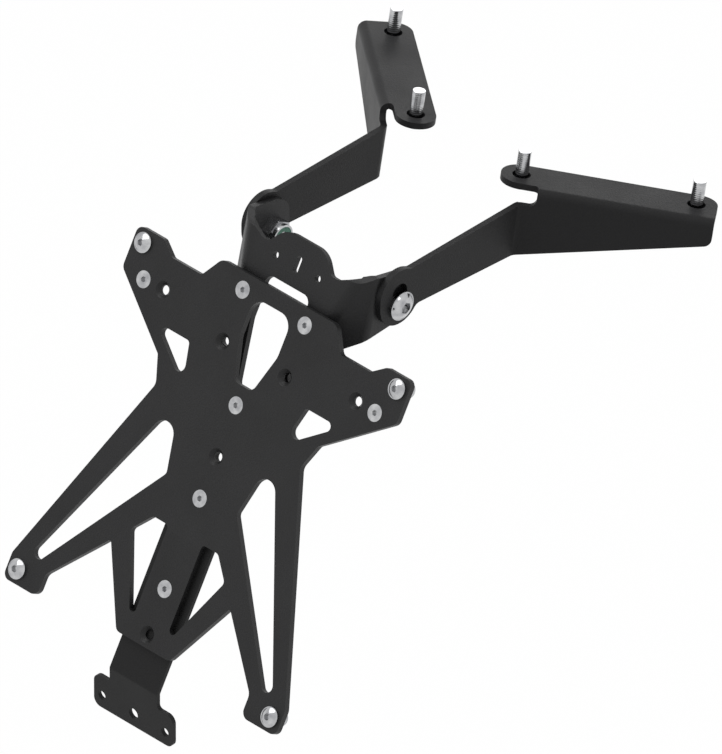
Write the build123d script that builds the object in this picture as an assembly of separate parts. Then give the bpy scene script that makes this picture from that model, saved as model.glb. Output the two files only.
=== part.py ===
from build123d import *
import os
from math import acos, cos, radians, sin, tan

# Motorbike tail tidy: a number plate panel on a tilt bracket between two folded arms.
# Millimetres. Built from the panel's middle screw as origin, x to the right seen from
# behind, y forward, z up, then moved so that the origin lies between the rear tail bolts.

# Sheets
panel_thick = 3.0
strip_thick = 2.0
bracket_thick = 3.0
arm_thick = 3.0
panel_lean = 30.0

# Panel
panel_border = 6.3
panel_top = 101.0
panel_shoulder = 95.5
panel_bottom = -72.2
foot_below = 6.7
foot_inside = 15.3
spine_half_width = 10.7
side_hole = (60.8, 74.9)
leg_hole = (19.6, 68.0)
spine_hole = 20.5
bottom_hole = -66.5

# Places of the screws and of the licence plate bolts
top_screw = (19.55, 93.3)
wing_screw = (72.9, 74.6)
upper_spine_screw = 45.6
lower_spine_screw = -44.25
licence_square = 160.0
licence_top = 89.4

# M4 screws and lock nuts
screw_r = 2.0
screw_hole_r = 2.2
screw_head_r = 4.0
m4_flats = 7.0
m4_nut_height = 5.0
m4_socket = 2.5
spacer_r = 6.0

# M5 licence bolts
licence_r = 2.5
licence_hole_r = 2.75
licence_head_r = 4.75
licence_head_height = 2.75
m5_flats = 8.0
m5_nut_height = 5.0
m5_socket = 3.0

# M8 pivots
pivot_y = 82.3
pivot_z = 86.4
pivot_r = 4.0
pivot_hole_r = 4.3
pivot_head_r = 7.0
pivot_head_height = 4.4
pivot_socket = 5.0
m8_flats = 13.0
m8_nut_height = 8.0
ring_lip = 0.8
thread_end = 1.2

# Reflector strip
strip_half_width = 15.0
strip_top = 52.0
strip_fold = -89.2
flange_half_width = 25.0
flange_top = 7.7
flange_bottom = 24.7
reflector_row = 18.0
reflector_hole_r = 2.75
reflector_side_x = 20.0
reflector_side_r = 2.25

# Tilt bracket
hump_top = 126.3
valley = 117.7
bracket_foot = -12.0
wing_foot = 82.0
lamp_hole = (13.2, 113.5)
lamp_hole_r = 1.75
slot_width = 3.1
slot_bottom = 110.5
slot_top = 118.6
window_half_width = 13.4
window_top = 104.3
leg_slot_length = 2.4
cable_hole_r = 5.0
wing_outer = 40.8
wing_fold = (28.57, 101.0)
wing_fold_slope = 0.2985
wing_fold_back = 14.35
wing_fold_up = 3.68
wing_fold_outer = 8.0
wing_bend_outer = 5.0
wing_top = 16.0
wing_bottom = 10.2
wing_front = 12.0
ridge = (71.5, 104.2)
saddle = (66.0, 101.7)
knee = (64.5, 74.2)
block_top = 22.0

# Arms
pad_r = 12.3
pad_low = 2.3
pad_high = 5.8
arm_slot_r = 4.6
slot_travel = 6.4
leg_top = 15.9
leg_bottom = 4.5
flange_pitch = 11.0
web_turn = 51.8
rear_stud = (33.3, 169.6, 108.9)
stud_pitch = 79.1
stud_hole_r = 4.2
tongue_r = 9.3
web_outer = 14.6
flange_front = 9.6
web_bend_outer = 4.0
leg_bend_inner = 2.5
web_top_rear = -7.9
web_bottom_rear = -33.2
web_bottom_front = -12.2

# M6 tail bolts
stud_r = 3.0
stud_height = 12.0
stud_head_r = 5.25
stud_head_height = 3.3
stud_socket = 4.0

panel_half_width = licence_square / 2 + panel_border
strip_back = panel_thick + strip_thick
stack = strip_back + bracket_thick
arm_outer = wing_outer + arm_thick
lean = radians(panel_lean)
panel_plane = Plane(origin=(0, 0, 0), x_dir=(1, 0, 0), z_dir=(0, -cos(lean), sin(lean)))
pitch = radians(flange_pitch)
turn = radians(web_turn)
along_y = Vector(0, cos(pitch), -sin(pitch))
flange_up = Vector(0, sin(pitch), cos(pitch))
web_along = Vector(1, 0, 0) * sin(turn) + along_y * cos(turn)
flange_plane = Plane(origin=rear_stud, x_dir=web_along, z_dir=flange_up)
leg_plane = Plane(origin=rear_stud, x_dir=(1, 0, 0), z_dir=flange_up)
to_row = Pos(0, -rear_stud[1], -rear_stud[2])


def rounded(corners):
    """Closed face from (x, y, radius) corners, each with its own arc."""
    count = len(corners)
    joints = []
    for i in range(count):
        x, y, radius = corners[i]
        here = Vector(x, y)
        back = (Vector(*corners[i - 1][:2]) - here).normalized()
        ahead = (Vector(*corners[(i + 1) % count][:2]) - here).normalized()
        if radius == 0:
            joints.append((here, None, here))
            continue
        half = acos(back.dot(ahead)) / 2
        reach = radius / tan(half)
        middle = here + (back + ahead).normalized() * (radius / sin(half) - radius)
        joints.append((here + back * reach, middle, here + ahead * reach))
    edges = []
    for i in range(count):
        start, middle, end = joints[i]
        if middle is not None:
            edges.append(ThreePointArc(start, middle, end))
        following = joints[(i + 1) % count][0]
        if (following - end).length > 1e-4:
            edges.append(Line(end, following))
    return make_face(Wire(edges))


def both_sides(half):
    """Mirror a right-hand list of corners, top to bottom, to a full outline."""
    return half + [(-x, y, radius) for x, y, radius in reversed(half)]


def mirrored(shape):
    """The same piece on the left side."""
    return mirror(shape, about=Plane.YZ)


def solids_of(shapes):
    """Identical pieces as one group of separate solids."""
    found = []
    for shape in shapes:
        found.extend(shape.solids())
    return Compound(children=found)


def on_panel(shape, places, depth=0):
    """A piece set at each place of the panel, at a depth behind its rear face."""
    return [panel_plane.location * Pos(u, v, -depth) * shape for u, v in places]


def hexagon(flats, height):
    """Hexagonal prism standing on z = 0."""
    return extrude(RegularPolygon(flats / 2, 6, major_radius=False), height)


def upright_cylinder(radius, height):
    """Cylinder standing on z = 0."""
    return Pos(0, 0, height / 2) * Cylinder(radius, height)


def countersunk_screw(length):
    """Screw with its flat head at z = 0, pointing down."""
    depth = screw_head_r - screw_r
    head = Pos(0, 0, -depth / 2) * Cone(screw_r, screw_head_r, depth)
    shank = Pos(0, 0, -length) * upright_cylinder(screw_r, length - depth)
    tip = chamfer(shank.edges().sort_by(Axis.Z)[0], 0.4)
    return head + tip - Pos(0, 0, -1.4) * hexagon(m4_socket, 2)


def button_bolt(radius, head_r, head_height, socket, length):
    """Round-headed bolt, the head above z = 0 and the shank below."""
    dome = head_height * 0.62
    base = upright_cylinder(head_r, head_height - dome)
    cap_r = (head_r ** 2 * 0.82 + dome ** 2) / (2 * dome)
    ball = Pos(0, 0, head_height - cap_r) * Sphere(cap_r)
    rim = Pos(0, 0, head_height - dome) * upright_cylinder(head_r * 0.995, dome)
    head = base + (ball & rim)
    shank = Pos(0, 0, -length) * upright_cylinder(radius, length)
    shank = chamfer(shank.edges().sort_by(Axis.Z)[0], radius * 0.2)
    recess = Pos(0, 0, head_height - socket * 0.55) * hexagon(socket, head_height)
    return head + shank - recess


def lock_nut(radius, flats, height):
    """Nut from z = 0 down, with a collar that holds the nylon ring."""
    body_height = height * 0.7
    body = Pos(0, 0, -body_height) * hexagon(flats, body_height)
    collar = Pos(0, 0, -height) * upright_cylinder(flats * 0.47, height)
    seat = Pos(0, 0, -height) * upright_cylinder(flats * 0.4, height - body_height)
    bore = Pos(0, 0, -height) * upright_cylinder(radius, height)
    return body + collar - seat - bore


def nylon_ring(radius, flats, height, lip=0):
    """Ring in the nut's collar, a little inside its end, with an uncut lip past a short bolt."""
    thick = height * 0.3 - 0.2
    ring = upright_cylinder(flats * 0.4, thick)
    ring -= Pos(0, 0, lip) * upright_cylinder(radius, thick)
    if lip > 0:
        ring -= upright_cylinder(radius * 0.7, thick)
    return Pos(0, 0, -height * 0.7 - thick) * ring


def washer(radius, bore, thick):
    """Flat ring from z = 0 down."""
    return Pos(0, 0, -thick) * (upright_cylinder(radius, thick) - upright_cylinder(bore, thick))


def pairs(place):
    """A place and its mirror image."""
    return [(place[0], place[1]), (-place[0], place[1])]


licence_half = licence_square / 2
licence_low = licence_top - licence_square
licence_places = pairs((licence_half, licence_top)) + pairs((licence_half, licence_low))
screw_places = pairs(top_screw) + pairs(wing_screw)
screw_places += [(0, upper_spine_screw), (0, 0), (0, lower_spine_screw)]


def through(radius, places, depth):
    """Round holes through the stack, as cutters in the panel's own frame."""
    cutter = Pos(0, 0, -depth - 1) * upright_cylinder(radius, depth + 2)
    return [Pos(u, v, 0) * cutter for u, v in places]


def number_plate_panel():
    foot_bottom = licence_low - foot_below
    foot_inner = licence_half - foot_inside
    half = [
        (35.9, panel_top, 5),
        (43.7, 89.9, 3),
        (62.5, 89.9, 3),
        (70.4, panel_shoulder, 3),
        (panel_half_width, panel_shoulder, 3.5),
        (panel_half_width, 74.9, 4),
        (50.6, 48.2, 2),
        (45.5, 35.7, 5),
        (panel_half_width, licence_low + 5.7, 5),
        (panel_half_width, foot_bottom, 3.5),
        (foot_inner, foot_bottom, 4),
        (foot_inner, licence_low + 4.2, 5),
        (37.7, -36.9, 1),
        (16.7, panel_bottom, 3.5),
    ]
    sheet = extrude(rounded(both_sides(half)), -panel_thick)
    middle = [(12.0, 93.1, 7), (12.0, 74.2, 10), (5.7, 54.8, 4)]
    triangle = [(36.7, 60.6, 2), (58.2, 60.6, 2.5), (31.3, 40.4, 3.5)]
    leg = [(30.1, 35.8, 6.3), (licence_half + 9, licence_low - 16.25, 3.2), (22.1, 2.4, 3)]
    inner = [
        (spine_half_width, -17.8, 2),
        (20.5, -17.8, 3),
        (29.7, -28.0, 2.5),
        (spine_half_width, -67.7, 2),
    ]
    windows = [rounded(both_sides(middle))]
    for window in (triangle, leg, inner):
        face = rounded(window)
        windows.append(face)
        windows.append(mirrored(face))
    for face in windows:
        sheet -= Pos(0, 0, -panel_thick - 1) * extrude(face, panel_thick + 2, dir=(0, 0, 1))
    sunk_places = screw_places + pairs(side_hole) + pairs(leg_hole)
    sunk_places += [(0, spine_hole), (0, bottom_hole)]
    holes = through(licence_hole_r, licence_places, stack)
    holes += through(screw_hole_r, sunk_places, stack)
    depth = screw_head_r - screw_r
    sink = Pos(0, 0, -depth / 2) * Cone(screw_r, screw_head_r, depth)
    for u, v in sunk_places:
        sheet -= Pos(u, v, 0) * sink
    for hole in holes:
        sheet -= hole
    return panel_plane.location * sheet


def reflector_strip():
    """Flat strip against the panel's back, folded upright below it."""
    top = panel_plane.from_local_coords((0, strip_top, -panel_thick))
    fold = panel_plane.from_local_coords((0, strip_fold, -panel_thick))
    back = panel_plane.from_local_coords((0, strip_top, -strip_back))
    low = fold.Z - flange_bottom
    shift = strip_thick * tan(lean / 2)
    side = [
        (top.Y, top.Z, 0),
        (fold.Y, fold.Z, strip_thick + 1),
        (fold.Y, low, 0),
        (fold.Y + strip_thick, low, 0),
        (fold.Y + strip_thick, fold.Z - shift, 1),
        (back.Y, back.Z, 0),
    ]
    sheet = extrude(Plane.YZ * rounded(side), flange_half_width, both=True)
    edge = fold.Z - flange_top
    front = both_sides([
        (strip_half_width, top.Z + 5, 0),
        (strip_half_width, edge, 2),
        (flange_half_width, edge, 4),
        (flange_half_width, low, 4),
    ])
    sheet &= extrude(Plane.XZ * rounded(front), 200, both=True)
    row = fold.Z - reflector_row
    drill = Pos(0, fold.Y, row) * Rot(90, 0, 0)
    sheet -= drill * Cylinder(reflector_hole_r, 20)
    for x in (-reflector_side_x, reflector_side_x):
        sheet -= Pos(x, 0, 0) * drill * Cylinder(reflector_side_r, 20)
    places = [(0, upper_spine_screw), (0, spine_hole), (0, 0), (0, lower_spine_screw)]
    for hole in through(screw_hole_r, places, stack):
        sheet -= panel_plane.location * hole
    return sheet


def edges_between(solid, first, second):
    """The edges of a solid that lie in both planes."""
    found = []
    for edge in solid.edges():
        ends = (edge @ 0, edge @ 1)
        if all(abs(first.to_local_coords(p).Z) + abs(second.to_local_coords(p).Z) < 0.01 for p in ends):
            found.append(edge)
    return found


def bracket_block(inset, size):
    """Space inside the bracket's outer faces, moved in by inset."""
    centre = Plane(panel_plane.from_local_coords((0, 0, -strip_back - inset)), z_dir=panel_plane.z_dir)
    rear = panel_plane.from_local_coords((*wing_fold, -strip_back))
    above = panel_plane.from_local_coords((wing_fold[0] + wing_fold_slope, wing_fold[1] + 1, -strip_back))
    front = Vector(wing_outer, pivot_y - wing_fold_back, pivot_z + wing_fold_up)
    outward = (above - rear).cross(front - rear).normalized()
    if outward.X < 0:
        outward = outward * -1
    right = Plane(rear - outward * inset, z_dir=outward)
    left_out = Vector(-outward.X, outward.Y, outward.Z)
    left = Plane(Vector(-rear.X, rear.Y, rear.Z) - left_out * inset, z_dir=left_out)
    width = 2 * (wing_outer - inset)
    block = Pos(0, pivot_y, pivot_z + block_top - size / 2) * Box(width, size, size)
    for plane in (centre, right, left):
        block = split(block, bisect_by=plane, keep=Keep.BOTTOM)
    wing_right = Plane((width / 2, 0, 0), z_dir=(1, 0, 0))
    wing_left = Plane((-width / 2, 0, 0), z_dir=(-1, 0, 0))
    block = fillet(edges_between(block, centre, right) + edges_between(block, centre, left),
                   wing_fold_outer - inset)
    bends = edges_between(block, right, wing_right) + edges_between(block, left, wing_left)
    return fillet(bends, wing_bend_outer - inset)


def tilt_bracket():
    shell = bracket_block(0, 260) - bracket_block(bracket_thick, 300)
    upper = [
        (12.3, hump_top, 12),
        (19.6, valley, 3),
        (24.0, valley, 6),
        (29.4, valley + 2.6, 0),
        (33.8, valley + 5.4, 0),
        (34.8, valley + 12, 0),
        (wing_outer + 5, valley + 40, 0),
        (wing_outer + 5, wing_foot, 0),
    ]
    lower = [
        (22, wing_foot + 4, 0),
        (22, wing_foot, 0),
        (25.2, wing_foot, 0),
        (25.4, leg_hole[1], 20),
        (21, 46, 8),
        (13, 26, 8),
        (12, bracket_foot, 5),
    ]
    outline = extrude(rounded(both_sides(upper)), 30, both=True)
    shell &= panel_plane.location * Pos(0, 0, -strip_back - 10) * outline
    low = pivot_z - wing_bottom
    top = pivot_z + wing_top
    side = [
        (pivot_y + wing_front, low, wing_front - 1),
        (pivot_y + wing_front, top - 0.3 * wing_front, 9),
        (*ridge, 4),
        (*saddle, 5),
        (knee[0] - 40, saddle[1], 0),
        (knee[0] - 40, knee[1] - 20, 0),
        (*knee, 8),
    ]
    wings = extrude(Plane.YZ * rounded(side), wing_outer + 10, both=True)
    crest = Pos(0, pivot_y, pivot_z) * Box(2 * 24, 400, 400)
    shell &= wings + crest
    tail = extrude(rounded(both_sides(lower)), -bracket_thick)
    shell += panel_plane.location * Pos(0, 0, -strip_back) * tail
    window = both_sides([(window_half_width, window_top, 4), (window_half_width, 83, 10), (6.8, strip_top, 4)])
    cutters = [extrude(rounded(window), 40, both=True)]
    slot_length = slot_top - slot_bottom
    slot = SlotOverall(slot_length, slot_width, rotation=90)
    cutters.append(Pos(0, slot_bottom + slot_length / 2, 0) * extrude(slot, 40, both=True))
    cutters += through(lamp_hole_r, pairs(lamp_hole), stack)
    cutters += through(screw_hole_r, pairs(top_screw) + [(0, upper_spine_screw), (0, 0)], stack)
    cutters += through(cable_hole_r, [(0, spine_hole)], stack)
    leg_slot = extrude(SlotCenterToCenter(leg_slot_length, 2 * screw_hole_r), 40, both=True)
    cutters += [Pos(u, v, 0) * leg_slot for u, v in pairs((leg_hole[0] + leg_slot_length / 2, leg_hole[1]))]
    for cutter in cutters:
        shell -= panel_plane.location * cutter
    bore = Pos(0, pivot_y, pivot_z) * Rot(0, 90, 0) * Cylinder(pivot_hole_r, 2 * wing_outer + 10)
    return shell - bore


def right_arm():
    """Pad, leg and web folded from one sheet, with the flange folded off the web's top."""
    start = rear_stud[0]
    web_front = stud_pitch + flange_front
    cross = sin(turn)
    down = cos(turn)

    def bend_point(x, distance):
        a = (x - start - distance * down) / cross
        return (x - start, a * down - distance * cross)

    def web_point(a, distance):
        return (a * cross + distance * down, a * down - distance * cross)

    outer = bend_point(arm_outer, web_outer)
    inner = bend_point(wing_outer, web_outer - arm_thick)
    reach = -rear_stud[1] + pivot_y - 60
    profile = [
        (outer[0], reach, 0),
        (outer[0], outer[1], leg_bend_inner),
        (*web_point(web_front, web_outer), 0),
        (*web_point(web_front, web_outer - arm_thick), 0),
        (inner[0], inner[1], leg_bend_inner + arm_thick),
        (inner[0], reach, 0),
    ]
    folded = leg_plane.location * extrude(rounded(profile), 140, both=True)
    seam_along = Vector(outer[0] - inner[0], outer[1] - inner[1]).normalized()
    seam_normal = leg_plane.y_dir * seam_along.X - leg_plane.x_dir * seam_along.Y
    seam = Plane(leg_plane.from_local_coords((outer[0], outer[1], 0)), z_dir=seam_normal)
    if seam.to_local_coords(Vector(arm_outer, pivot_y, pivot_z)).Z > 0:
        seam = -seam
    leg = split(folded, bisect_by=seam, keep=Keep.BOTTOM)
    web = split(folded, bisect_by=seam, keep=Keep.TOP)
    bend_low = leg_plane.from_local_coords((outer[0], outer[1], web_bottom_rear))
    bend_high = leg_plane.from_local_coords((outer[0], outer[1], web_top_rear))
    top_z = pivot_z + leg_top
    side = Polyline(
        (pivot_y, top_z),
        (bend_high.Y, bend_high.Z),
        (bend_high.Y + 60, bend_high.Z),
        (bend_low.Y + 60, bend_low.Z),
        (bend_low.Y, bend_low.Z),
        (pivot_y, pivot_z - leg_bottom + 0.7),
        close=True,
    )
    pad_length = pad_high - pad_low
    pad = Pos(pivot_y, pivot_z + pad_low + pad_length / 2)
    pad = pad * SlotCenterToCenter(pad_length, 2 * pad_r, rotation=90)
    outline = make_face(side) + pad
    necks = [v for v in outline.vertices() if pivot_y + 2 < v.X < pivot_y + pad_r + 2]
    outline = fillet(necks, 4)
    leg &= extrude(Plane.YZ * outline, 120, both=True)
    slot = Pos(pivot_y, pivot_z + slot_travel / 2)
    slot = slot * SlotCenterToCenter(slot_travel, 2 * arm_slot_r, rotation=90)
    leg -= extrude(Plane.YZ * slot, 120, both=True)
    notch = tongue_r - 0.4
    strip = [
        (-60, web_bottom_rear, 0),
        (1.9, web_bottom_rear, 0),
        (web_front, web_bottom_front, 4),
        (web_front, -web_bend_outer, 0),
        (notch, -web_bend_outer, 0),
        (notch, web_top_rear, 3.5),
        (-60, web_top_rear, 0),
    ]
    web_cut = extrude(Plane.XZ * rounded(strip), 40, both=True)
    web &= flange_plane.location * web_cut
    fold = [
        (tongue_r, 0, 0),
        (-web_outer, 0, web_bend_outer),
        (-web_outer, -web_bend_outer - 2, 0),
        (arm_thick - web_outer, -web_bend_outer - 2, 0),
        (arm_thick - web_outer, -arm_thick, web_bend_outer - arm_thick),
        (tongue_r, -arm_thick, 0),
    ]
    flange = extrude(Plane.YZ * rounded(fold), web_front + tongue_r)
    plan = [
        (-tongue_r, tongue_r, tongue_r),
        (-tongue_r, -tongue_r, tongue_r),
        (notch, -tongue_r, 2),
        (notch, -web_outer - 5, 0),
        (web_front, -web_outer - 5, 0),
        (web_front, tongue_r, 8.5),
    ]
    flange = Pos(-tongue_r, 0, 0) * flange & extrude(rounded(plan), 20, both=True)
    for a in (0, stud_pitch):
        flange -= Pos(a, 0, 0) * Cylinder(stud_hole_r, 20)
    return leg + web + flange_plane.location * flange


def tail_places():
    """Frames at the two stud holes of the right flange."""
    return [flange_plane.location, flange_plane.location * Pos(stud_pitch, 0, 0)]


def tail_bolt():
    """Button head bolt standing up through the flange, its head under it."""
    length = arm_thick + stud_height
    bolt = button_bolt(stud_r, stud_head_r, stud_head_height, stud_socket, length)
    return Pos(0, 0, -arm_thick) * Rot(180, 0, 0) * bolt


def at_pivot(shape, x):
    """A piece along -z set on the right pivot, its z = 0 at x, pointing inward."""
    return Pos(x, pivot_y, pivot_z) * Rot(0, 90, 0) * shape


grip = arm_thick + bracket_thick
nut_seat = wing_outer - bracket_thick
nodes = {
    "number_plate_panel": number_plate_panel(),
    "reflector_strip": reflector_strip(),
    "tilt_bracket": tilt_bracket(),
}

arm = right_arm()
nodes["right_arm"] = arm
nodes["left_arm"] = mirrored(arm)

# Countersunk screws with their lock nuts and rings
stack_screw = countersunk_screw(stack + m4_nut_height + thread_end)
strip_screw = countersunk_screw(strip_back + m4_nut_height + thread_end)
panel_screw = countersunk_screw(panel_thick + m4_nut_height + thread_end)
m4_nut = lock_nut(screw_r, m4_flats, m4_nut_height)
m4_ring = nylon_ring(screw_r, m4_flats, m4_nut_height)
spine_places = [(0, upper_spine_screw), (0, 0)]
low_place = [(0, lower_spine_screw)]
nodes["top_screws"] = solids_of(on_panel(stack_screw, pairs(top_screw)))
nodes["spine_screws"] = solids_of(on_panel(stack_screw, spine_places))
nodes["lower_spine_screw"] = solids_of(on_panel(strip_screw, low_place))
nodes["wing_screws"] = solids_of(on_panel(panel_screw, pairs(wing_screw)))
nodes["top_screw_nuts"] = solids_of(on_panel(m4_nut, pairs(top_screw), stack))
nodes["spine_screw_nuts"] = solids_of(on_panel(m4_nut, spine_places, stack))
nodes["lower_spine_screw_nut"] = solids_of(on_panel(m4_nut, low_place, strip_back))
nodes["wing_screw_nuts"] = solids_of(on_panel(m4_nut, pairs(wing_screw), panel_thick))
rings = on_panel(m4_ring, pairs(top_screw) + spine_places, stack)
rings += on_panel(m4_ring, low_place, strip_back)
rings += on_panel(m4_ring, pairs(wing_screw), panel_thick)
nodes["screw_nut_rings"] = solids_of(rings)
spacer = washer(spacer_r, screw_hole_r, strip_thick)
nodes["bracket_spacers"] = solids_of(on_panel(spacer, pairs(top_screw), panel_thick))

# Licence plate bolts with their lock nuts and rings
licence_length = panel_thick + m5_nut_height + thread_end
licence_bolt = button_bolt(licence_r, licence_head_r, licence_head_height, m5_socket, licence_length)
m5_nut = lock_nut(licence_r, m5_flats, m5_nut_height)
m5_ring = nylon_ring(licence_r, m5_flats, m5_nut_height)
nodes["upper_licence_bolts"] = solids_of(on_panel(licence_bolt, licence_places[:2]))
nodes["lower_licence_bolts"] = solids_of(on_panel(licence_bolt, licence_places[2:]))
nodes["upper_licence_nuts"] = solids_of(on_panel(m5_nut, licence_places[:2], panel_thick))
nodes["lower_licence_nuts"] = solids_of(on_panel(m5_nut, licence_places[2:], panel_thick))
nodes["licence_nut_rings"] = solids_of(on_panel(m5_ring, licence_places, panel_thick))

# Pivots, one node for each piece because they turn on their own
pivot_length = grip + m8_nut_height - 0.2 - ring_lip
pivot_bolt = button_bolt(pivot_r, pivot_head_r, pivot_head_height, pivot_socket, pivot_length)
m8_nut = lock_nut(pivot_r, m8_flats, m8_nut_height)
m8_ring = nylon_ring(pivot_r, m8_flats, m8_nut_height, ring_lip)
pivot_pieces = {
    "pivot_bolt": at_pivot(pivot_bolt, arm_outer),
    "pivot_nut": at_pivot(m8_nut, nut_seat),
    "pivot_nut_ring": at_pivot(m8_ring, nut_seat),
}
for name, piece in pivot_pieces.items():
    nodes["right_" + name] = piece
    nodes["left_" + name] = mirrored(piece)

# Tail bolts
for place, name in zip(tail_places(), ("rear", "front")):
    bolt = place * tail_bolt()
    nodes["right_" + name + "_tail_bolt"] = bolt
    nodes["left_" + name + "_tail_bolt"] = mirrored(bolt)

os.makedirs("parts", exist_ok=True)
for name, shape in nodes.items():
    export_step(to_row * shape, f"parts/{name}.step")
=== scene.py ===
import math

import bmesh
import bpy
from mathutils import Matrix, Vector


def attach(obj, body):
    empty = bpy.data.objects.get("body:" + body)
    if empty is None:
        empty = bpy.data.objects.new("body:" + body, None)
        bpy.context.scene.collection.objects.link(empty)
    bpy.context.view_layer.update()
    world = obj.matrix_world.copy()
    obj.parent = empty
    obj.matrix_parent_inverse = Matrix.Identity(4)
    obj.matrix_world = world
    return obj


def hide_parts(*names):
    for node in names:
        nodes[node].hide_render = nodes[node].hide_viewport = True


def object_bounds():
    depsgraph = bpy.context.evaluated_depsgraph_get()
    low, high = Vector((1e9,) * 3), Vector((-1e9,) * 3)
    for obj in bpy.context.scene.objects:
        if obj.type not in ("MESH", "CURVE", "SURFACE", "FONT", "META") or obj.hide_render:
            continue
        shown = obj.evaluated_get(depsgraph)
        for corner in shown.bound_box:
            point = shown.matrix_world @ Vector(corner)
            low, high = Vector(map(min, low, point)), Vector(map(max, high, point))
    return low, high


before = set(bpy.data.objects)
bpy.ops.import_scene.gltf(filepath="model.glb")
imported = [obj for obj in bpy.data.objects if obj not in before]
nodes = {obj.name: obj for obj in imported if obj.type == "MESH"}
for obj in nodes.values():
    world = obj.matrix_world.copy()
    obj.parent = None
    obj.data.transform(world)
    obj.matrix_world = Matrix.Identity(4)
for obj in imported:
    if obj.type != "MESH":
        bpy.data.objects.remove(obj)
cad_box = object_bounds()
scene = bpy.context.scene
scene.view_settings.view_transform = "Standard"

# Number plate panel
# The cut-out sheet that carries the licence plate: 3 mm laser-cut mild steel, blasted and
# powder coated satin black, its edges slightly rounded by the coat.


def noise(tree, place, scale, detail):
    """Cloudy noise that is fixed to the part."""
    cloud = tree.nodes.new("ShaderNodeTexNoise")
    cloud.inputs["Scale"].default_value = scale
    cloud.inputs["Detail"].default_value = detail
    tree.links.new(place, cloud.inputs["Vector"])
    return cloud


def spread(tree, value, start, end):
    """Stretch a value from one range to another."""
    remap = tree.nodes.new("ShaderNodeMapRange")
    for socket, limit in zip(("From Min", "From Max", "To Min", "To Max"), (*start, *end)):
        remap.inputs[socket].default_value = limit
    tree.links.new(value, remap.inputs["Value"])
    return remap.outputs["Result"]


def colour_mix(tree, blend_type):
    """A mix of two colours: its share, first colour, second colour and result."""
    mix = tree.nodes.new("ShaderNodeMix")
    mix.data_type = "RGBA"
    mix.blend_type = blend_type
    return mix.inputs[0], mix.inputs[6], mix.inputs[7], mix.outputs[2]


def relief(tree, height, strength, distance):
    """Fine relief on the surface, without a change of shape."""
    bump = tree.nodes.new("ShaderNodeBump")
    bump.inputs["Strength"].default_value = strength
    bump.inputs["Distance"].default_value = distance
    tree.links.new(height, bump.inputs["Height"])
    shader = tree.nodes["Principled BSDF"]
    tree.links.new(bump.outputs["Normal"], shader.inputs["Normal"])


def powder_coat(name, base, rough, sheen, grain, highlight_share):
    """Satin black powder coat: fine orange peel, faint tone changes and a painted highlight on
    sharp edges.
    """
    material = bpy.data.materials.new(name)
    material.use_nodes = True
    tree = material.node_tree
    links = tree.links
    shader = tree.nodes["Principled BSDF"]
    shader.inputs["Specular IOR Level"].default_value = sheen
    place = tree.nodes.new("ShaderNodeTexCoord").outputs["Object"]
    cloud = noise(tree, place, scale=38, detail=5)
    cloud.inputs["Roughness"].default_value = 0.6
    speck = noise(tree, place, scale=1900, detail=3)
    mottle = tree.nodes.new("ShaderNodeMath")
    mottle.operation = "MULTIPLY"
    links.new(spread(tree, cloud.outputs["Fac"], (0.3, 0.7), (0.75, 1.3)), mottle.inputs[0])
    links.new(spread(tree, speck.outputs["Fac"], (0.35, 0.65), (0.7, 1.35)), mottle.inputs[1])
    share, plain, darker, tinted = colour_mix(tree, "MULTIPLY")
    share.default_value = 1
    plain.default_value = (*base, 1)
    links.new(mottle.outputs["Value"], darker)
    # Painted highlight: sharp edges get a paler colour, picked out by pointiness.
    edge = tree.nodes.new("ShaderNodeNewGeometry")
    share, covered, highlight_colour, highlit_coat = colour_mix(tree, "MIX")
    highlight_colour.default_value = (0.032, 0.032, 0.033, 1)
    links.new(spread(tree, edge.outputs["Pointiness"], (0.53, 0.62), (0, highlight_share)), share)
    links.new(tinted, covered)
    links.new(highlit_coat, shader.inputs["Base Color"])
    gloss = spread(tree, cloud.outputs["Fac"], (0.25, 0.75), (rough - 0.05, rough + 0.07))
    links.new(gloss, shader.inputs["Roughness"])
    peel = noise(tree, place, scale=1300, detail=2)
    relief(tree, peel.outputs["Fac"], strength=grain, distance=0.0001)
    return material


def soft_edges(part, width):
    """Round a part's cut and turned edges by a small radius."""
    for face in part.data.polygons:
        face.use_smooth = True
    bevel = part.modifiers.new("edge", "BEVEL")
    bevel.width = width
    bevel.segments = 3
    bevel.limit_method = "ANGLE"
    bevel.angle_limit = math.radians(35)
    bevel.harden_normals = True


def coat(part, material):
    """Give a part its finish all over."""
    for place in part.material_slots:
        place.material = material


panel_coat = powder_coat("panel_coat", base=(0.0115, 0.0115, 0.012), rough=0.44, sheen=0.3,
                         grain=0.9, highlight_share=0.15)
panel = nodes["number_plate_panel"]
coat(panel, panel_coat)
soft_edges(panel, width=0.00015)

# Reflector strip
# A narrow 2 mm steel strip down the panel's back, folded upright below it for the reflector.
# Powder coated in the same batch, a little duller.
strip_coat = powder_coat("strip_coat", base=(0.0058, 0.0058, 0.006), rough=0.5, sheen=0.21,
                         grain=0.5, highlight_share=0.15)
strip = nodes["reflector_strip"]
coat(strip, strip_coat)
soft_edges(strip, width=0.00012)

# Tilt bracket
# One 3 mm sheet behind the panel, folded into two wings that hang on the pivot bolts, with
# a hump for the number plate lamp. Powder coated.
bracket_coat = powder_coat("bracket_coat", base=(0.0098, 0.0098, 0.0103), rough=0.44,
                           sheen=0.28, grain=0.9, highlight_share=0.2)
bracket = nodes["tilt_bracket"]
coat(bracket, bracket_coat)
soft_edges(bracket, width=0.0002)

# Arms
# Left and right, folded from 3 mm sheet: slotted pad, leg, web and a flange with two bolts.
# Powder coated like the rest, with a slightly coarser grain.
arm_coat = powder_coat("arm_coat", base=(0.0068, 0.0068, 0.0072), rough=0.44, sheen=0.17,
                       grain=1.3, highlight_share=0.25)
for side in ("left", "right"):
    arm = nodes[side + "_arm"]
    coat(arm, arm_coat)
    soft_edges(arm, width=0.0002)

# Screws, nuts and spacers of the carrier
# Seven M4 countersunk socket screws through the panel and four M5 button heads for the
# licence plate, each with a lock nut behind, and two turned spacers. Zinc plated steel.


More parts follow.
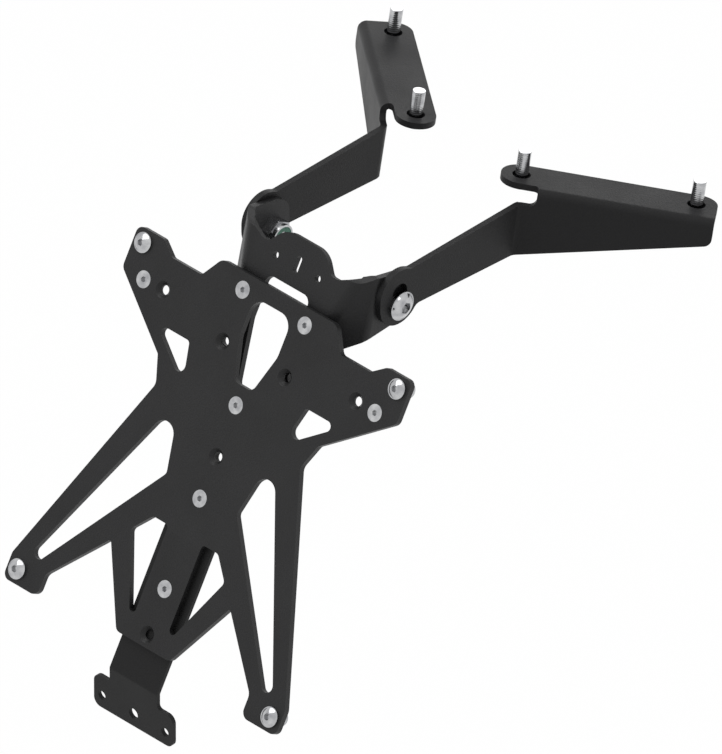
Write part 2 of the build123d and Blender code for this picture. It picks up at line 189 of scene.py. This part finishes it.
def plated_steel(name, base, rough, brush):
    """Bright plated steel with faint turning marks, small tone changes and painted shade in
    its hollows.
    """
    material = bpy.data.materials.new(name)
    material.use_nodes = True
    tree = material.node_tree
    links = tree.links
    shader = tree.nodes["Principled BSDF"]
    shader.inputs["Metallic"].default_value = 1
    place = tree.nodes.new("ShaderNodeTexCoord").outputs["Object"]
    cloud = noise(tree, place, scale=260, detail=6)
    tone = tree.nodes.new("ShaderNodeValToRGB")
    dull, bright = tone.color_ramp.elements
    dull.position = 0.3
    dull.color = (base[0] * 0.62, base[1] * 0.62, base[2] * 0.64, 1)
    bright.position = 0.68
    bright.color = (*base, 1)
    links.new(cloud.outputs["Fac"], tone.inputs["Fac"])
    # Painted shade: ambient occlusion darkens the colour in sockets and other hollows.
    occlusion = tree.nodes.new("ShaderNodeAmbientOcclusion")
    occlusion.inputs["Distance"].default_value = 0.0016
    share, plate, painted_shade, shaded_plate = colour_mix(tree, "MULTIPLY")
    share.default_value = 1
    links.new(tone.outputs["Color"], plate)
    links.new(spread(tree, occlusion.outputs["AO"], (0.25, 0.85), (0.75, 1)), painted_shade)
    links.new(shaded_plate, shader.inputs["Base Color"])
    gloss = spread(tree, cloud.outputs["Fac"], (0, 1), (rough - 0.04, rough + 0.08))
    links.new(gloss, shader.inputs["Roughness"])
    marks = noise(tree, place, scale=2600, detail=2)
    relief(tree, marks.outputs["Fac"], strength=brush, distance=0.00005)
    return material


zinc = plated_steel("bright_zinc", base=(0.55, 0.555, 0.56), rough=0.13, brush=0.12)
for name in ("top_screws", "spine_screws", "lower_spine_screw", "wing_screws",
             "top_screw_nuts", "spine_screw_nuts", "lower_spine_screw_nut", "wing_screw_nuts",
             "upper_licence_bolts", "lower_licence_bolts", "upper_licence_nuts",
             "lower_licence_nuts"):
    coat(nodes[name], zinc)
    soft_edges(nodes[name], width=0.00012)
spacer_zinc = plated_steel("spacer_zinc", base=(0.60, 0.61, 0.62), rough=0.32, brush=0.15)
coat(nodes["bracket_spacers"], spacer_zinc)

# Pivots
# Two M8 button head bolts in the pads' slots with lock nuts inside the wings, the same
# bright zinc plate.
for side in ("left", "right"):
    coat(nodes[side + "_pivot_bolt"], zinc)
    coat(nodes[side + "_pivot_nut"], zinc)
    soft_edges(nodes[side + "_pivot_nut"], width=0.0002)

# Nylon rings
# Dark green nylon inserts in the collars of all the lock nuts, moulded and then crimped in,
# so that they grip the thread.


def nylon(name, base):
    """Dyed nylon with a soft sheen and a faint mottle."""
    material = bpy.data.materials.new(name)
    material.use_nodes = True
    tree = material.node_tree
    links = tree.links
    shader = tree.nodes["Principled BSDF"]
    shader.inputs["Roughness"].default_value = 0.38
    place = tree.nodes.new("ShaderNodeTexCoord").outputs["Object"]
    cloud = noise(tree, place, scale=420, detail=2)
    tone = tree.nodes.new("ShaderNodeValToRGB")
    dark, light = tone.color_ramp.elements
    dark.color = (base[0] * 0.6, base[1] * 0.6, base[2] * 0.6, 1)
    light.color = (*base, 1)
    links.new(cloud.outputs["Fac"], tone.inputs["Fac"])
    links.new(tone.outputs["Color"], shader.inputs["Base Color"])
    relief(tree, cloud.outputs["Fac"], strength=0.1, distance=0.00005)
    return material


green_nylon = nylon("green_nylon", base=(0.035, 0.21, 0.13))
for name in ("screw_nut_rings", "licence_nut_rings", "left_pivot_nut_ring",
             "right_pivot_nut_ring"):
    coat(nodes[name], green_nylon)
    soft_edges(nodes[name], width=0.0001)

# Tail bolts
# Four M6 button head bolts that stand up through the arm flanges into the tail. Steel, with
# a 1 mm pitch thread that hardly shows under the bright zinc plate.


def point_ring(mesh, radii, z):
    """A ring of points around +z, each at its own distance from the axis."""
    ring = []
    for step, radius in enumerate(radii):
        angle = 2 * math.pi * step / len(radii)
        ring.append(mesh.verts.new((radius * math.cos(angle), radius * math.sin(angle), z)))
    return ring


def join_rings(mesh, first, second):
    """A band of faces between two rings."""
    for step in range(len(first)):
        after = (step + 1) % len(first)
        mesh.faces.new((first[step], first[after], second[after], second[step]))


def tail_bolt(name):
    """Bolt along +z, its head's top face at z = 0 and the threaded shank above it."""
    shank_radius = 0.003
    shank_length = 0.015
    pitch = 0.001
    thread_depth = 0.00004
    flank_slope = 2.6
    crest_width = 0.45
    runout = 0.0015
    tip_height = 0.0002
    tip_slope = 0.9
    head_outline = [(0.00525, 0.0), (0.00525, -0.0011), (0.0049, -0.0019), (0.0042, -0.0026),
                    (0.0034, -0.0031), (0.0027, -0.0033)]
    socket_half_flats = 0.002
    socket_mouth = -0.0033
    socket_floor = -0.0013
    sharp_angle = math.radians(38)
    around = 48
    rings_per_turn = 10
    rings = int(shank_length / pitch * rings_per_turn)

    mesh = bmesh.new()
    shank = []
    for row in range(rings + 1):
        z = shank_length * row / rings
        tip = max(0.0, z - (shank_length - tip_height))
        plain = max(0.0, 1 - z / runout)
        radii = []
        for step in range(around):
            phase = (z / pitch - step / around) % 1
            flank = abs(phase - 0.5) * flank_slope - crest_width
            cut = thread_depth * min(1.0, max(0.0, flank))
            radii.append(shank_radius - cut * (1 - plain) - tip * tip_slope)
        shank.append(point_ring(mesh, radii, z))
    for below, above in zip(shank, shank[1:]):
        join_rings(mesh, below, above)
    mesh.faces.new(shank[-1])

    last = shank[0]
    for radius, z in head_outline:
        ring = point_ring(mesh, [radius] * around, z)
        join_rings(mesh, last, ring)
        last = ring
    hexagon = []
    for step in range(around):
        angle = 2 * math.pi * step / around
        from_flat = (angle + math.pi / 6) % (math.pi / 3) - math.pi / 6
        hexagon.append(socket_half_flats / math.cos(from_flat))
    for z in (socket_mouth, socket_floor):
        ring = point_ring(mesh, hexagon, z)
        join_rings(mesh, last, ring)
        last = ring
    mesh.faces.new(last)

    bmesh.ops.recalc_face_normals(mesh, faces=mesh.faces)
    for face in mesh.faces:
        face.smooth = len(face.verts) == 4
    data = bpy.data.meshes.new(name)
    mesh.to_mesh(data)
    mesh.free()
    data.set_sharp_from_angle(angle=sharp_angle)
    piece = bpy.data.objects.new(name, data)
    scene.collection.objects.link(piece)
    return piece


flange_pitch = math.radians(11)
flange_thickness = 0.003
flange_up = Vector((0, math.sin(flange_pitch), math.cos(flange_pitch)))
bolt_places = {"rear": (0.0333, 0, 0), "front": (0.09546, 0.04802, -0.009334)}
for side, sign in (("left", -1), ("right", 1)):
    for place, (x, y, z) in bolt_places.items():
        bolt = tail_bolt(side + "_" + place + "_threaded_bolt")
        bolt.rotation_mode = "QUATERNION"
        bolt.rotation_quaternion = flange_up.to_track_quat("Z", "Y")
        bolt.location = Vector((sign * x, y, z)) - flange_up * flange_thickness
        bolt.data.materials.append(zinc)
        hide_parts(side + "_" + place + "_tail_bolt")
        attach(bolt, "arms")

# Studio
# A pale floor well under the part, which keeps a trace of its shadow, a white surround and
# one broad lamp from above. Two small lamps put the glints on the bolts: one in front, one
# to the right.
floor_drop = 0.25
floor_half_width = 12
floor_mesh = bmesh.new()
bmesh.ops.create_grid(floor_mesh, x_segments=1, y_segments=1, size=floor_half_width)
floor_data = bpy.data.meshes.new("floor")
floor_mesh.to_mesh(floor_data)
floor_mesh.free()
floor = bpy.data.objects.new("floor", floor_data)
floor.location = (0, 0, cad_box[0].z - floor_drop)
scene.collection.objects.link(floor)


def white_surround(tree, plain, white, whiteness, surface):
    """Show white to camera, glossy and transmission rays, and the plain shader to the rest."""
    links = tree.links
    path = tree.nodes.new("ShaderNodeLightPath")
    direct = tree.nodes.new("ShaderNodeMath")
    direct.operation = "MAXIMUM"
    links.new(path.outputs["Is Camera Ray"], direct.inputs[0])
    links.new(path.outputs["Is Glossy Ray"], direct.inputs[1])
    seen = tree.nodes.new("ShaderNodeMath")
    seen.operation = "MAXIMUM"
    links.new(direct.outputs["Value"], seen.inputs[0])
    links.new(path.outputs["Is Transmission Ray"], seen.inputs[1])
    share = tree.nodes.new("ShaderNodeMath")
    share.operation = "MULTIPLY"
    share.inputs[1].default_value = whiteness
    links.new(seen.outputs["Value"], share.inputs[0])
    mix = tree.nodes.new("ShaderNodeMixShader")
    links.new(share.outputs["Value"], mix.inputs[0])
    links.new(plain, mix.inputs[1])
    links.new(white, mix.inputs[2])
    links.new(mix.outputs["Shader"], surface)


floor_white = bpy.data.materials.new("floor_white")
floor_white.use_nodes = True
tree = floor_white.node_tree
paper = tree.nodes["Principled BSDF"]
paper.inputs["Base Color"].default_value = (0.86, 0.86, 0.86, 1)
paper.inputs["Roughness"].default_value = 0.9
glow = tree.nodes.new("ShaderNodeEmission")
glow.inputs["Strength"].default_value = 1
white_surround(tree, paper.outputs["BSDF"], glow.outputs["Emission"], whiteness=0.99,
               surface=tree.nodes["Material Output"].inputs["Surface"])
floor_data.materials.append(floor_white)

world = bpy.data.worlds.new("studio")
scene.world = world
world.use_nodes = True
tree = world.node_tree
ambient = tree.nodes["Background"]
ambient.inputs["Color"].default_value = (1, 1, 1, 1)
ambient.inputs["Strength"].default_value = 0.45
white = tree.nodes.new("ShaderNodeBackground")
white.inputs["Color"].default_value = (1, 1, 1, 1)
white.inputs["Strength"].default_value = 1
white_surround(tree, ambient.outputs["Background"], white.outputs["Background"], whiteness=1,
               surface=tree.nodes["World Output"].inputs["Surface"])


def lamp(name, where, target, width, power):
    """A square soft lamp that points at the target."""
    data = bpy.data.lights.new(name, "AREA")
    data.shape = "SQUARE"
    data.size = width
    data.energy = power
    light = bpy.data.objects.new(name, data)
    light.location = where
    light.rotation_mode = "QUATERNION"
    light.rotation_quaternion = (target - where).to_track_quat("-Z", "Y")
    scene.collection.objects.link(light)


middle = (cad_box[0] + cad_box[1]) / 2
lamp("top_lamp", middle + Vector((-0.54, -0.3, 1.37)), middle, width=1.2, power=9)
lamp("front_lamp", Vector((-0.98, 1.3, 0.55)), middle, width=0.4, power=1.1)
lamp("right_lamp", middle + Vector((1.12, 0.04, 0.99)), middle, width=0.38, power=1.25)

# Camera
# A very long lens from behind, right and above, so that the view is almost parallel, as in
# the photograph.
view_width = 0.33706
lens = 1630
sensor = 36
back = Vector((1, -1, 1)).normalized()
aim = Vector((-0.00549, -0.06245, -0.0989))
camera_data = bpy.data.cameras.new("camera")
camera_data.lens = lens
camera_data.sensor_width = sensor
camera_data.clip_end = 100
camera = bpy.data.objects.new("camera", camera_data)
camera.location = aim + back * (view_width * lens / sensor)
camera.rotation_mode = "QUATERNION"
camera.rotation_quaternion = (-back).to_track_quat("-Z", "Y")
scene.collection.objects.link(camera)
scene.camera = camera
